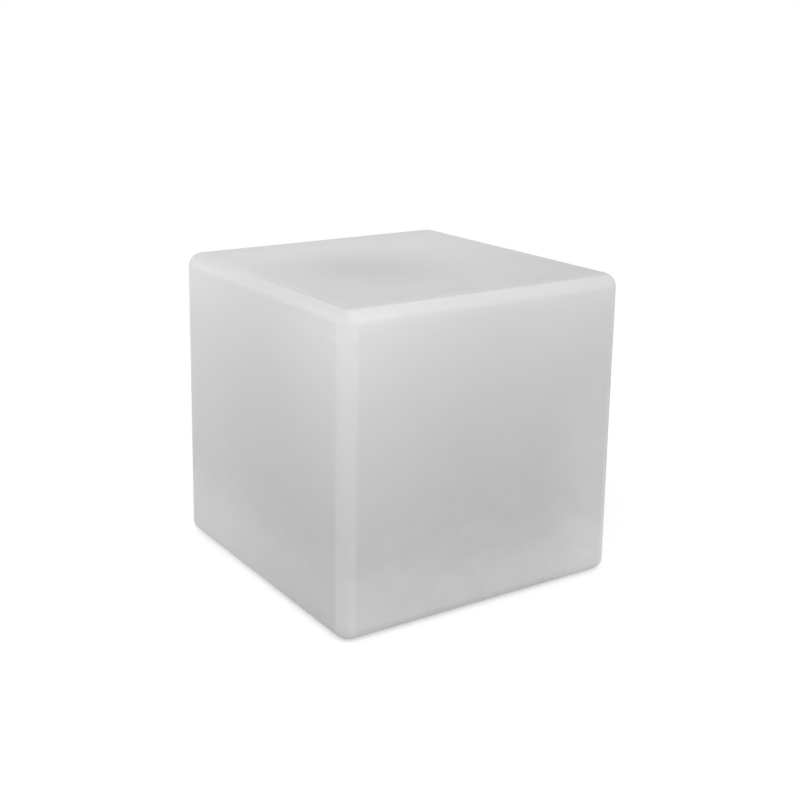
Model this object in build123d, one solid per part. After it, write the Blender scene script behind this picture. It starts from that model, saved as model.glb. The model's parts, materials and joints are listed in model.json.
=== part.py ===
from build123d import *
import os
from math import cos, hypot, radians, sin, sqrt, tan

# A rechargeable cube light: a hollow white polyethylene cube that glows, with the whole light
# module on a round cover in a recess of its underside.
# Millimetres, +Z up, front towards -Y. The origin is on the floor, under the middle of the cube.

# ---- the cube ------------------------------------------------------------------------------
cube_width = 400.0
cube_depth = 400.0
cube_height = 388.0
side_radius = 18.0
top_radius = 18.0
bottom_radius = 14.0
shell_wall = 3.2

# ---- rubber feet ---------------------------------------------------------------------------
foot_proud = 1.5
foot_pocket = 1.0
foot_radius = 11.0
foot_inset = 48.0
foot_edge = 0.8

# ---- recess in the underside ---------------------------------------------------------------
recess_depth = 14.0
recess_lip = 2.0
recess_step = 2.0

# ---- round cover in the recess -------------------------------------------------------------
cover_thickness = 4.0
cover_edge = 1.0
spigot_wall = 2.0
spigot_height = 3.0
gasket_width = 3.0
gasket_height = 1.6
gasket_land = 1.4
grip_rib_height = 1.2
grip_rib_width = 1.6

# ---- screws that hold the cover, in threaded inserts ---------------------------------------
cover_screw_count = 6
cover_screw_radius = 2.0
cover_screw_length = 11.0
cover_head_radius = 3.8
cover_head_height = 2.2
cover_shank_sides = 12
insert_radius = 3.0
insert_length = 8.0
insert_boss_wall = 2.4
insert_boss_roof = 2.0
insert_sides = 6

# ---- small screws --------------------------------------------------------------------------
small_screw_radius = 1.3
small_head_radius = 2.4
small_head_height = 1.5
small_sides = 8
post_sides = 8
small_screw_length = 7.0
housing_screw_length = 5.4
driver_slot_width = 0.9
driver_slot_depth = 0.8

# ---- control board -------------------------------------------------------------------------
board_length = 66.0
board_width = 48.0
board_thickness = 1.6
board_shift = -8.0
board_corner = 2.0
board_hole_inset = 4.0
standoff_height = 12.0
standoff_radius = 3.0

# ---- parts on the board --------------------------------------------------------------------
chip_length = 10.0
chip_width = 6.0
chip_height = 1.8
inductor_size = 7.0
inductor_height = 3.0
capacitor_radius = 3.2
capacitor_height = 5.4
socket_length = 7.0
socket_width = 5.0
socket_height = 4.5

# ---- power button and its switch -----------------------------------------------------------
button_x = -20.0
button_radius = 8.0
button_proud = 1.5
button_dish = 0.7
button_flange = 2.2
button_flange_thickness = 1.4
button_stem_radius = 2.5
button_guard_gap = 3.0
button_guard_wall = 1.6
button_guard_height = 2.2
press_travel = 0.8
seal_section = 1.4
switch_size = 6.2
switch_roof = 1.0
switch_stem_radius = 1.7
switch_stem_out = 1.5
switch_stem_in = 1.4

# ---- charge indicator ----------------------------------------------------------------------
pipe_radius = 1.5
pipe_flange = 1.0
pipe_flange_thickness = 1.2
pipe_inset = 7.0
indicator_size = 2.4
indicator_height = 1.0

# ---- charging socket -----------------------------------------------------------------------
socket_bore = 2.85
socket_wall = 1.15
socket_flange_radius = 5.8
socket_flange_thickness = 1.2
socket_body_length = 14.0
socket_depth = 9.0
contact_radius = 1.05
contact_setback = 2.6
contact_tail = 3.5
nut_across_flats = 11.0
nut_thickness = 2.4
nut_room = 1.5
socket_boss_height = 3.0
socket_boss_wall = 3.0
socket_seal_thickness = 0.8
socket_seal_width = 1.2

# ---- silicone cover over the charging socket -----------------------------------------------
pocket_depth = 2.0
cover_cap_radius = 7.4
cover_cap_thickness = 1.5
cover_stub_radius = 2.5
cover_stub_length = 1.9
strap_width = 5.0
strap_thickness = 1.2
hinge_reach = 14.0
hinge_gap = 0.3
anchor_neck = 1.6
anchor_radius = 3.6
anchor_stem_radius = 1.6
anchor_stem_length = 4.0
anchor_barb = 0.5
tab_length = 4.5
tab_width = 6.0
tab_lip = 0.5
finger_scoop_radius = 6.0
finger_scoop_depth = 2.6

# ---- battery -------------------------------------------------------------------------------
cell_radius = 9.2
cell_length = 65.0
cell_gap = 1.2
cell_play = 0.15
cell_edge = 0.7
cell_nipple_radius = 3.0
cell_nipple_height = 0.9
tab_strip_thickness = 0.4
tab_strip_width = 8.0
cradle_clearance = 8.0
cradle_floor = 2.5
cradle_wall = 1.6
cradle_saddle = 0.55
cradle_end_wall = 2.0
cradle_end_rise = 6.0
ear_thickness = 3.0
ear_width = 14.0
clamp_thickness = 2.0
clamp_width = 12.0
clamp_foot = 9.0
clamp_corner = 9.0
cradle_post_radius = 3.5

# ---- module housing ------------------------------------------------------------------------
housing_wall = 2.4
housing_deck = 3.0
housing_edge = 2.0
housing_flange_thickness = 2.4
housing_screw_count = 4
housing_screw_turn = 45.0
screw_post_radius = 2.6
flange_margin = 1.4

# ---- light source --------------------------------------------------------------------------
led_board_thickness = 1.6
led_board_screw_count = 3
led_size = 5.0
led_height = 1.6
outer_led_count = 12
inner_led_count = 6
outer_led_share = 0.80
inner_led_share = 0.42
screw_ring_share = 0.62
receiver_size = 5.0
receiver_height = 4.0

# ---- frosted dome --------------------------------------------------------------------------
dome_wall = 2.0
dome_height = 30.0
dome_flange_thickness = 2.0
dome_gasket_thickness = 1.0
dome_screw_count = 4
dome_drum_height = 14.0
dome_crown_share = 0.72

# ---- leads ---------------------------------------------------------------------------------
lead_radius = 0.7
lead_sides = 6
lead_pitch = 2.4
lead_rise = 3.0

# ---- clearances ----------------------------------------------------------------------------
fit = 0.05
play = 0.3
room = 1.5
over = 1.0

# ---- heights, worked upwards from the floor ------------------------------------------------
shell_low = foot_proud
seat = shell_low + recess_depth
cover_low = seat - cover_thickness
pocket_floor = cover_low + pocket_depth
board_low = seat + standoff_height
board_high = board_low + board_thickness
cradle_low = board_high + cradle_clearance
cell_axis = cradle_low + cradle_floor + cell_radius + cell_play
clamp_under = cell_axis + cell_radius + cell_play
clamp_high = clamp_under + clamp_thickness
deck_low = clamp_high + room
deck_high = deck_low + housing_deck
led_board_high = deck_high + led_board_thickness
dome_seat = deck_high + dome_gasket_thickness

# ---- places in plan, worked outwards from what the module holds ----------------------------
board_left = board_shift - board_length / 2
board_right = board_shift + board_length / 2
pipe_y = board_width / 2 - pipe_inset
nut_radius = nut_across_flats / 2 / cos(radians(30))
jack_x = board_right + nut_room + max(nut_radius, socket_bore + socket_wall + socket_boss_wall)
cell_y = cell_radius + cell_gap / 2
cradle_half_width = cell_y + cell_radius + cell_play + cradle_wall
cradle_half_length = cell_length / 2 + cell_nipple_height + tab_strip_thickness + cradle_end_wall
clamp_half_width = cradle_half_width + fit + clamp_thickness
clamp_screw_y = clamp_half_width + clamp_foot / 2
cradle_post_y = max(clamp_half_width + clamp_foot + small_head_radius + fit,
                    board_width / 2 + room + cradle_post_radius)
module_reach = max(hypot(board_left, board_width / 2),
                   hypot(cradle_half_length, cradle_half_width),
                   jack_x + nut_radius,
                   cradle_post_y + cradle_post_radius)
housing_bore = module_reach + room
housing_radius = housing_bore + housing_wall
housing_screw_ring = housing_radius + flange_margin + small_head_radius
flange_radius = housing_screw_ring + small_head_radius + flange_margin
spigot_bore = flange_radius + play
spigot_radius = spigot_bore + spigot_wall
opening_radius = spigot_radius + play
gasket_inner = opening_radius + gasket_land
gasket_outer = gasket_inner + gasket_width
insert_boss_radius = insert_radius + insert_boss_wall
cover_screw_ring = gasket_outer + gasket_land + max(insert_boss_radius, cover_head_radius)
cover_radius = cover_screw_ring + cover_head_radius + recess_step
recess_radius = cover_radius + play
dome_outer = housing_radius - housing_edge / 2
dome_screw_ring = dome_outer - small_head_radius - flange_margin / 2
dome_inner = dome_screw_ring - small_head_radius - flange_margin / 2 - dome_wall
led_board_radius = dome_inner - play
socket_thread_radius = socket_bore + socket_wall
hinge_y = -hinge_reach
hinge_z = pocket_floor - play - strap_thickness / 2
anchor_face = hinge_y - strap_thickness / 2 - hinge_gap
anchor_y = anchor_face - anchor_neck - anchor_radius


# ---- helpers -------------------------------------------------------------------------------
def disc(radius, low, high, x=0.0, y=0.0):
    """An upright cylinder between two heights."""
    upright = (Align.CENTER, Align.CENTER, Align.MIN)
    return Pos(x, y, low) * Cylinder(radius, high - low, align=upright)


def ring(outer, inner, low, high, x=0.0, y=0.0):
    """An upright tube between two heights."""
    return disc(outer, low, high, x, y) - disc(inner, low - over, high + over, x, y)


def block(size_x, size_y, low, high, x=0.0, y=0.0):
    """An upright box between two heights."""
    upright = (Align.CENTER, Align.CENTER, Align.MIN)
    return Pos(x, y, low) * Box(size_x, size_y, high - low, align=upright)


def prism(radius, sides, low, high, x=0.0, y=0.0):
    """An upright prism between two heights, for small shapes that repeat out of sight."""
    return extrude(Pos(x, y, low) * RegularPolygon(radius, sides), amount=high - low)


def around(count, radius, turn=0.0):
    """Places spread evenly round a circle, as x and y."""
    angles = [radians(turn + 360.0 * i / count) for i in range(count)]
    return [(radius * cos(a), radius * sin(a)) for a in angles]


def driver_cross(head_radius, face):
    """The cross recess of a screw head whose face is at this height."""
    arm = head_radius * 1.2
    low = face - driver_slot_depth
    slot = block(arm, driver_slot_width, low, face + over)
    return slot + Rot(0, 0, 90) * slot


def small_screw(length):
    """A hidden flat-headed screw that seats at z 0, with its head above."""
    shank = prism(small_screw_radius, small_sides, -length, 0)
    return shank + prism(small_head_radius, small_sides, 0, small_head_height)


def small_screws(places, seat_z, length=small_screw_length):
    """Small screws driven down from above at these places."""
    return Compound([Pos(x, y, seat_z) * small_screw(length) for x, y in places])


def pilot(x, y, mouth, head_seat, length=small_screw_length):
    """The blind hole that a small screw cuts its thread in, down from its mouth."""
    bottom = head_seat - length - play
    return prism(small_screw_radius + fit, small_sides, bottom, mouth + over, x, y)


def small_clearance(x, y, low, high):
    """The through hole for a small screw."""
    return prism(small_screw_radius + 2 * fit, small_sides, low - over, high + over, x, y)


def lead(points):
    """A round lead along straight runs that are joined by arcs."""
    radii = []
    for before, at, after in zip(points, points[1:], points[2:]):
        run_in = Vector(*at) - Vector(*before)
        run_out = Vector(*after) - Vector(*at)
        shorter = min(run_in.length, run_out.length)
        radii.append(0.45 * shorter / tan(radians(run_in.get_angle(run_out)) / 2))
    path = FilletPolyline(*points, radius=radii)
    section = Plane(origin=path @ 0, z_dir=path % 0) * RegularPolygon(lead_radius, lead_sides)
    return sweep(section, path=path)


# ---- shell ---------------------------------------------------------------------------------
def rounded_cube():
    """The cube's outer form."""
    cube = block(cube_width, cube_depth, shell_low, cube_height)
    cube = fillet(cube.edges().filter_by(Axis.Z), side_radius)
    cube = fillet(cube.edges().group_by(Axis.Z)[-1], top_radius)
    return fillet(cube.edges().group_by(Axis.Z)[0], bottom_radius)


def cavity():
    """The hollow inside the wall, whose bevels touch the rounding that keeps the wall even."""
    hollow = block(cube_width - 2 * shell_wall, cube_depth - 2 * shell_wall,
                   shell_low + shell_wall, cube_height - shell_wall)
    touch = 2 - sqrt(2)
    hollow = chamfer(hollow.edges().filter_by(Axis.Z), touch * (side_radius - shell_wall))
    hollow = chamfer(hollow.edges().group_by(Axis.Z)[-1], touch * (top_radius - shell_wall))
    return chamfer(hollow.edges().group_by(Axis.Z)[0], touch * (bottom_radius - shell_wall))


def cover_screw_places():
    return around(cover_screw_count, cover_screw_ring, 30.0)


def foot_places():
    """The feet stand in from the four bottom corners."""
    reach_x = cube_width / 2 - foot_inset
    reach_y = cube_depth / 2 - foot_inset
    return [(x, y) for x in (-reach_x, reach_x) for y in (-reach_y, reach_y)]


def shell():
    """The moulded cube, one piece, whose wall folds in to make the recess of the underside."""
    insert_top = seat + insert_length
    body = rounded_cube() - cavity()
    tub = disc(recess_radius + shell_wall, shell_low, seat + shell_wall)
    bosses = [prism(insert_boss_radius, post_sides, seat, insert_top + insert_boss_roof, x, y)
              for x, y in cover_screw_places()]
    body = body + tub + bosses
    mouth = disc(recess_radius, shell_low - over, seat)
    body = body - mouth - disc(opening_radius, seat - over, seat + shell_wall + over)
    holes = [prism(insert_radius + fit, insert_sides, seat - over, insert_top, x, y)
             for x, y in cover_screw_places()]
    pads = [disc(foot_radius + fit, shell_low - over, shell_low + foot_pocket, x, y)
            for x, y in foot_places()]
    body = body - holes - pads
    lip = [edge for edge in body.edges().filter_by(GeomType.CIRCLE)
           if abs(edge.radius - recess_radius) < fit
           and abs(edge.center().Z - shell_low) < fit]
    return chamfer(lip, recess_lip)


def rubber_feet():
    """Four glued pads, half sunk in the shell."""
    feet = []
    for x, y in foot_places():
        foot = disc(foot_radius, 0, shell_low + foot_pocket, x, y)
        feet.append(chamfer(foot.edges().group_by(Axis.Z)[0], foot_edge))
    return Compound(feet)


def screw_inserts():
    """Threaded brass inserts, six-sided so that they can't turn in the shell's bosses."""
    low = seat
    high = seat + insert_length
    bore = cover_screw_radius + fit
    return Compound([prism(insert_radius, insert_sides, low, high, x, y)
                     - disc(bore, low - over, high + over, x, y)
                     for x, y in cover_screw_places()])


# ---- round cover ---------------------------------------------------------------------------
def housing_screw_places():
    return around(housing_screw_count, housing_screw_ring, housing_screw_turn)


def board_hole_places():
    reach_x = board_length / 2 - board_hole_inset
    reach_y = board_width / 2 - board_hole_inset
    return [(board_shift + x, y) for x in (-reach_x, reach_x) for y in (-reach_y, reach_y)]


def cradle_post_places():
    return [(0.0, cradle_post_y), (0.0, -cradle_post_y)]


def pocket_outline(grow):
    """The plan of the socket's silicone cover, grown by a gap on every side."""
    cap = Pos(jack_x, 0) * Circle(cover_cap_radius + grow)
    strap_plan = Pos(jack_x, anchor_y / 2) * Rectangle(strap_width + 2 * grow, -anchor_y)
    tab_run = cover_cap_radius + tab_length
    tab_plan = Pos(jack_x, tab_run / 2) * Rectangle(tab_width + 2 * grow, tab_run + 2 * grow)
    anchor = Pos(jack_x, anchor_y) * Circle(anchor_radius + grow)
    return cap + strap_plan + tab_plan + anchor


def cover_screw_cut(x, y):
    """The countersunk hole for one cover screw."""
    head = Cone(cover_head_radius + fit, cover_screw_radius + 2 * fit, cover_head_height,
                align=(Align.CENTER, Align.CENTER, Align.MIN))
    hole = disc(cover_screw_radius + 2 * fit, cover_low - over, seat + over, x, y)
    return Pos(x, y, cover_low) * head + hole


def cover_bosses():
    """What stands up inside the cover: spigot, standoffs, posts and the socket's boss."""
    spigot = ring(spigot_radius, spigot_bore, seat, seat + spigot_height)
    standoffs = [prism(standoff_radius, post_sides, seat, board_low, x, y)
                 for x, y in board_hole_places()]
    posts = [prism(cradle_post_radius, post_sides, seat, cradle_low, x, y)
             for x, y in cradle_post_places()]
    jack_boss = disc(socket_thread_radius + socket_boss_wall, seat,
                     seat + socket_boss_height, jack_x)
    anchor_boss = disc(anchor_stem_radius + spigot_wall, seat,
                       pocket_floor + anchor_stem_length + spigot_wall, jack_x, anchor_y)
    return [spigot, jack_boss, anchor_boss] + standoffs + posts


def cover_underside():
    """What shows below the cover: a guard round the button and a ring rib for grip."""
    guard_bore = button_radius + button_guard_gap
    guard = ring(guard_bore + button_guard_wall, guard_bore,
                 cover_low - button_guard_height, cover_low, button_x)
    rib_radius = spigot_radius
    rib = ring(rib_radius, rib_radius - grip_rib_width, cover_low - grip_rib_height, cover_low)
    return [guard, rib]


def base_cover():
    """The round cover that closes the cube and carries the whole light module."""
    plate = disc(cover_radius, cover_low, seat)
    plate = chamfer(plate.edges().group_by(Axis.Z)[0], cover_edge)
    cover = plate + cover_bosses() + cover_underside()
    groove = ring(gasket_outer + fit, gasket_inner - fit, seat - gasket_height, seat + over)
    cuts = [groove]
    cuts += [cover_screw_cut(x, y) for x, y in cover_screw_places()]
    cuts += [pilot(x, y, seat, seat + housing_flange_thickness, housing_screw_length)
             for x, y in housing_screw_places()]
    cuts += [pilot(x, y, board_low, board_high) for x, y in board_hole_places()]
    cuts += [pilot(x, y, cradle_low, cradle_low + ear_thickness) for x, y in cradle_post_places()]
    cuts += [button_cut(), pipe_cut(), jack_cut(), cover_pocket(), anchor_cut()]
    return cover - cuts


def button_cut():
    hole = disc(button_radius + play, cover_low - over, seat + over, button_x)
    middle = cover_low + cover_thickness / 2
    groove = disc(button_radius + seal_section + 2 * fit, middle - seal_section / 2 - fit,
                  middle + seal_section / 2 + fit, button_x)
    return hole + groove


def pipe_cut():
    return disc(pipe_radius + fit, cover_low - over, seat + over, button_x, pipe_y)


def jack_cut():
    """The stepped hole for the charging socket, with a counterbore for its flange and seal."""
    flange_top = pocket_floor + socket_flange_thickness + socket_seal_thickness
    hole = disc(socket_thread_radius + fit, cover_low - over,
                seat + socket_boss_height + over, jack_x)
    return hole + disc(socket_flange_radius + play, cover_low - over, flange_top, jack_x)


def cover_pocket():
    """The sunk outline that the silicone cover lies flush in, with a scoop for a fingertip."""
    pocket = extrude(Pos(0, 0, cover_low - over) * pocket_outline(2 * play),
                     amount=pocket_depth + over)
    scoop_y = cover_cap_radius + tab_length + finger_scoop_radius / 2
    scoop = Pos(jack_x, scoop_y, cover_low) * Sphere(finger_scoop_radius)
    keep = block(4 * finger_scoop_radius, 4 * finger_scoop_radius, cover_low - over,
                 cover_low + finger_scoop_depth, jack_x, scoop_y)
    return pocket + (scoop & keep)


def anchor_cut():
    stem_top = pocket_floor + anchor_stem_length
    barb = disc(anchor_stem_radius + anchor_barb + fit, stem_top - anchor_barb - 2 * fit,
                stem_top + fit, jack_x, anchor_y)
    return barb + disc(anchor_stem_radius + fit, pocket_floor - over, stem_top, jack_x, anchor_y)


def base_gasket():
    """The square rubber ring between cover and shell."""
    return ring(gasket_outer, gasket_inner, seat - gasket_height, seat)


def cover_screw():
    """A countersunk screw, head face down at z 0."""
    head = Cone(cover_head_radius, cover_screw_radius, cover_head_height,
                align=(Align.CENTER, Align.CENTER, Align.MIN))
    shank = prism(cover_screw_radius, cover_shank_sides, 0, cover_screw_length)
    cross = driver_cross(cover_head_radius, 0)
    return head + shank - Rot(180, 0, 0) * cross


def base_screws():
    return Compound([Pos(x, y, cover_low + fit) * cover_screw()
                     for x, y in cover_screw_places()])


# ---- module housing ------------------------------------------------------------------------
def lead_hole():
    """Where the leads of the light source pass through the deck, as x."""
    return -led_board_radius * 0.84


def dome_screw_places():
    return around(dome_screw_count, dome_screw_ring, 360.0 / dome_screw_count / 2)


def led_screw_places():
    return around(led_board_screw_count, led_board_radius * screw_ring_share, 90.0)


def module_housing():
    """The upturned cup over battery and board, whose deck carries the light source."""
    cup = disc(housing_radius, seat, deck_high)
    cup = chamfer(cup.edges().group_by(Axis.Z)[-1], housing_edge / 2)
    cup = cup + disc(flange_radius, seat, seat + housing_flange_thickness)
    cup = cup - disc(housing_bore, seat - over, deck_low)
    under_deck = deck_low - small_screw_length
    posts = [prism(screw_post_radius, post_sides, under_deck, deck_low, x, y)
             for x, y in dome_screw_places() + led_screw_places()]
    posts = [post & disc(housing_bore + over, under_deck, deck_low) for post in posts]
    cup = cup + clear_of_clamp(posts)
    cuts = [small_clearance(x, y, seat, seat + housing_flange_thickness)
            for x, y in housing_screw_places()]
    cuts += [pilot(x, y, deck_high, dome_seat + dome_flange_thickness)
             for x, y in dome_screw_places()]
    cuts += [pilot(x, y, deck_high, led_board_high) for x, y in led_screw_places()]
    cuts += [disc(lead_pitch + 2 * lead_radius, deck_low - over, deck_high + over, lead_hole())]
    return cup - cuts


def clear_of_clamp(posts):
    """Screw posts under the deck, kept short over the battery."""
    low = deck_low - room / 2
    over_battery = block(2 * cradle_half_length, 2 * (clamp_half_width + fit), seat, low)
    return [post - over_battery for post in posts]


def housing_screws():
    head_seat = seat + housing_flange_thickness
    return small_screws(housing_screw_places(), head_seat, housing_screw_length)


# ---- control board -------------------------------------------------------------------------
def control_board():
    board = block(board_length, board_width, board_low, board_high, board_shift)
    board = fillet(board.edges().filter_by(Axis.Z), board_corner)
    holes = [small_clearance(x, y, board_low, board_high) for x, y in board_hole_places()]
    return board - holes


def board_screws():
    return small_screws(board_hole_places(), board_high)


def controller_chip():
    return block(chip_length, chip_width, board_high, board_high + chip_height, board_shift)


def power_inductor():
    y = -chip_width / 2 - room - inductor_size / 2
    coil = block(inductor_size, inductor_size, board_high, board_high + inductor_height,
                 board_shift, y)
    return chamfer(coil.edges().filter_by(Axis.Z), inductor_size / 6)


def storage_capacitor():
    y = chip_width / 2 + room + capacitor_radius
    return disc(capacitor_radius, board_high, board_high + capacitor_height, board_shift, y)


def socket_places():
    """Lead sockets on the board: light source, battery and charging socket."""
    edge = socket_length / 2 + room
    left = board_left + edge
    right = board_right - edge
    return [(left, 0.0), (right, board_width / 4), (right, -board_width / 4)]


def board_sockets():
    return Compound([block(socket_length, socket_width, board_high,
                           board_high + socket_height, x, y) for x, y in socket_places()])


# ---- button, switch and indicator ----------------------------------------------------------
def switch_low():
    """Underside of the switch, which hangs from the board."""
    return board_low - switch_roof - press_travel - switch_stem_in - play


def switch_body():
    low = switch_low()
    body = block(switch_size, switch_size, low, board_low, button_x)
    cavity = disc(switch_stem_radius + 2 * fit, low - over, board_low - switch_roof, button_x)
    return body - cavity


def switch_stem():
    low = switch_low()
    return disc(switch_stem_radius, low - switch_stem_out, low + switch_stem_in, button_x)


def power_button():
    """The push button: a dished cap outside, a flange inside that stops it falling out."""
    cap = disc(button_radius, cover_low - button_proud, seat + 2 * fit, button_x)
    cap = chamfer(cap.edges().group_by(Axis.Z)[0], button_proud / 2)
    flange = disc(button_radius + button_flange, seat + 2 * fit,
                  seat + 2 * fit + button_flange_thickness, button_x)
    stem = disc(button_stem_radius, seat, switch_low() - switch_stem_out, button_x)
    dish_radius = (button_radius ** 2 / button_dish + button_dish) / 2
    dish = Pos(button_x, 0, cover_low - button_proud + button_dish - dish_radius)
    rim = disc(button_radius * 0.8, cover_low - 2 * button_proud, cover_low, button_x)
    return cap + flange + stem - (dish * Sphere(dish_radius) & rim)


def button_seal():
    """The square-section ring that wipes the button."""
    middle = cover_low + cover_thickness / 2
    return ring(button_radius + fit + seal_section, button_radius + 2 * fit,
                middle - seal_section / 2, middle + seal_section / 2, button_x)


def indicator_led():
    return block(indicator_size, indicator_size, board_low - indicator_height, board_low,
                 button_x, pipe_y)


def light_pipe():
    """The clear rod that brings the indicator's light to the outside."""
    rod = disc(pipe_radius, cover_low, board_low - indicator_height - play,
               button_x, pipe_y)
    flange = disc(pipe_radius + pipe_flange, seat, seat + pipe_flange_thickness,
                  button_x, pipe_y)
    return rod + flange


# ---- charging socket -----------------------------------------------------------------------
def socket_top():
    return pocket_floor + socket_body_length


def jack_body():
    """The threaded metal barrel, with its flange in the cover's counterbore."""
    barrel = disc(socket_thread_radius, pocket_floor, socket_top(), jack_x)
    flange = disc(socket_flange_radius, pocket_floor, pocket_floor + socket_flange_thickness,
                  jack_x)
    return barrel + flange - disc(socket_bore, pocket_floor - over, socket_top() + over, jack_x)


def jack_insulator():
    low = pocket_floor + socket_depth
    plug = disc(socket_bore - fit, low, socket_top(), jack_x)
    return plug - disc(contact_radius + fit, low - over, socket_top() + over, jack_x)


def jack_contact():
    """The centre pin, which carries on as the solder tail."""
    return disc(contact_radius, pocket_floor + contact_setback,
                socket_top() + contact_tail, jack_x)


def jack_seal():
    low = pocket_floor + socket_flange_thickness
    inner = socket_thread_radius + fit
    return ring(inner + socket_seal_width, inner, low, low + socket_seal_thickness, jack_x)


def jack_nut():
    low = seat + socket_boss_height
    nut = extrude(Pos(jack_x, 0, low) * RegularPolygon(nut_radius, 6), amount=nut_thickness)
    return nut - disc(socket_thread_radius + fit, low - over, low + nut_thickness + over, jack_x)


def port_cover():
    """The silicone cover: cap, stub for the socket's mouth, finger tab and half its strap."""
    high = pocket_floor - play
    cap = disc(cover_cap_radius, high - cover_cap_thickness, high, jack_x)
    tab_run = cover_cap_radius + tab_length
    tab = block(tab_width, tab_run, high - cover_cap_thickness, high, jack_x, tab_run / 2)
    tab = fillet(tab.edges().filter_by(Axis.Z).sort_by(Axis.Y)[-2:], tab_width / 3)
    lip = block(tab_width * 0.7, tab_length / 3, high - cover_cap_thickness - tab_lip, high,
                jack_x, tab_run - tab_length / 2)
    stub = disc(cover_stub_radius, high, high + play + cover_stub_length, jack_x)
    stub = chamfer(stub.edges().group_by(Axis.Z)[-1], cover_stub_length / 4)
    strap = block(strap_width, hinge_reach, high - strap_thickness, high, jack_x, hinge_y / 2)
    knuckle = Rot(0, 90, 0) * Cylinder(strap_thickness / 2, strap_width)
    return cap + tab + lip + stub + strap + Pos(jack_x, hinge_y, hinge_z) * knuckle


def tether_anchor():
    """The fixed end of the strap, pushed into a blind hole of the cover."""
    high = pocket_floor
    low = hinge_z - strap_thickness / 2
    neck_run = anchor_face - anchor_y
    neck = block(strap_width, neck_run, low, high, jack_x, anchor_y + neck_run / 2)
    front = neck.edges().filter_by(Axis.X).group_by(Axis.Z)[0].sort_by(Axis.Y)[-1]
    button = disc(anchor_radius, low, high, jack_x, anchor_y) + chamfer(front, strap_thickness * 0.7)
    stem_top = high + anchor_stem_length - 2 * fit
    stem = disc(anchor_stem_radius, high, stem_top, jack_x, anchor_y)
    barb = disc(anchor_stem_radius + anchor_barb, stem_top - anchor_barb, stem_top,
                jack_x, anchor_y)
    return button + stem + barb


# ---- battery -------------------------------------------------------------------------------
def lying_cylinder(radius, length, x, y, z):
    return Pos(x, y, z) * Rot(0, 90, 0) * Cylinder(radius, length)


def battery_cells():
    """Two cells side by side, the nipple of each at an opposite end."""
    cells = []
    for side in (-1, 1):
        can = lying_cylinder(cell_radius, cell_length, 0, side * cell_y, cell_axis)
        can = chamfer(can.edges().filter_by(GeomType.CIRCLE), cell_edge)
        tip_x = side * (cell_length + cell_nipple_height) / 2
        tip = lying_cylinder(cell_nipple_radius, cell_nipple_height, tip_x,
                             side * cell_y, cell_axis)
        cells.append(can + tip)
    return Compound(cells)


def cell_tabs():
    """Nickel strips: one joins the cells at the back, two carry the leads at the front."""
    tabs = []
    for side in (-1, 1):
        tip_x = side * (cell_length / 2 + cell_nipple_height + tab_strip_thickness / 2)
        tabs.append(Pos(tip_x, side * cell_y, cell_axis)
                    * Box(tab_strip_thickness, tab_strip_width, tab_strip_width))
        flat_x = -side * (cell_length + tab_strip_thickness) / 2
        tabs.append(Pos(flat_x, side * cell_y, cell_axis)
                    * Box(tab_strip_thickness, tab_strip_width, tab_strip_width))
    return Compound(tabs)


def clamp_screw_places():
    return [(0.0, clamp_screw_y), (0.0, -clamp_screw_y)]


def battery_cradle():
    """The moulded saddle under the cells, with an ear on each side for clamp and post."""
    saddle_high = cell_axis - cell_radius * cradle_saddle
    body = block(2 * cradle_half_length, 2 * cradle_half_width, cradle_low, saddle_high)
    ear_reach = cradle_post_y + cradle_post_radius
    ears = block(ear_width, 2 * ear_reach, cradle_low, cradle_low + ear_thickness)
    ears = fillet(ears.edges().filter_by(Axis.Z), ear_width / 4)
    stops = [block(cradle_end_wall, 2 * cradle_half_width, cradle_low,
                   saddle_high + cradle_end_rise, side * (cradle_half_length - cradle_end_wall / 2))
             for side in (-1, 1)]
    body = body + ears + stops
    inner_length = 2 * (cradle_half_length - cradle_end_wall)
    troughs = [lying_cylinder(cell_radius + cell_play, inner_length, 0, side * cell_y, cell_axis)
               for side in (-1, 1)]
    holes = [small_clearance(x, y, cradle_low, cradle_low + ear_thickness)
             for x, y in cradle_post_places()]
    holes += [prism(small_screw_radius + fit, small_sides, cradle_low - over,
                    cradle_low + ear_thickness + over, x, y) for x, y in clamp_screw_places()]
    return body - troughs - holes


def cradle_screws():
    return small_screws(cradle_post_places(), cradle_low + ear_thickness)


def battery_clamp():
    """The bowed strap over both cells, with a foot on each ear."""
    ear_top = cradle_low + ear_thickness
    outer_height = clamp_high - ear_top
    outer = Pos(0, ear_top + outer_height / 2) * Rectangle(2 * clamp_half_width, outer_height)
    outer = fillet(outer.vertices().group_by(Axis.Y)[-1], clamp_corner)
    inner_height = clamp_under - ear_top
    inner = Pos(0, ear_top + inner_height / 2) * Rectangle(
        2 * (clamp_half_width - clamp_thickness), inner_height)
    inner = fillet(inner.vertices().group_by(Axis.Y)[-1], clamp_corner - clamp_thickness)
    feet = Pos(0, ear_top + clamp_thickness / 2) * Rectangle(
        2 * (clamp_half_width + clamp_foot - fit), clamp_thickness)
    profile = outer + feet - inner
    bow = extrude(Plane.YZ * profile, amount=clamp_width / 2, both=True)
    holes = [small_clearance(x, y, ear_top, ear_top + clamp_thickness)
             for x, y in clamp_screw_places()]
    return bow - holes


def clamp_screws():
    return small_screws(clamp_screw_places(), cradle_low + ear_thickness + clamp_thickness)


# ---- light source --------------------------------------------------------------------------
def led_board():
    """The round aluminium board on the deck."""
    board = disc(led_board_radius, deck_high, led_board_high)
    holes = [small_clearance(x, y, deck_high, led_board_high) for x, y in led_screw_places()]
    return board - holes


def led_board_screws():
    return small_screws(led_screw_places(), led_board_high)


def led_chips():
    """Two rings of light-emitting chips."""
    places = around(outer_led_count, led_board_radius * outer_led_share)
    places += around(inner_led_count, led_board_radius * inner_led_share)
    return Compound([block(led_size, led_size, led_board_high, led_board_high + led_height, x, y)
                     for x, y in places])


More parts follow.
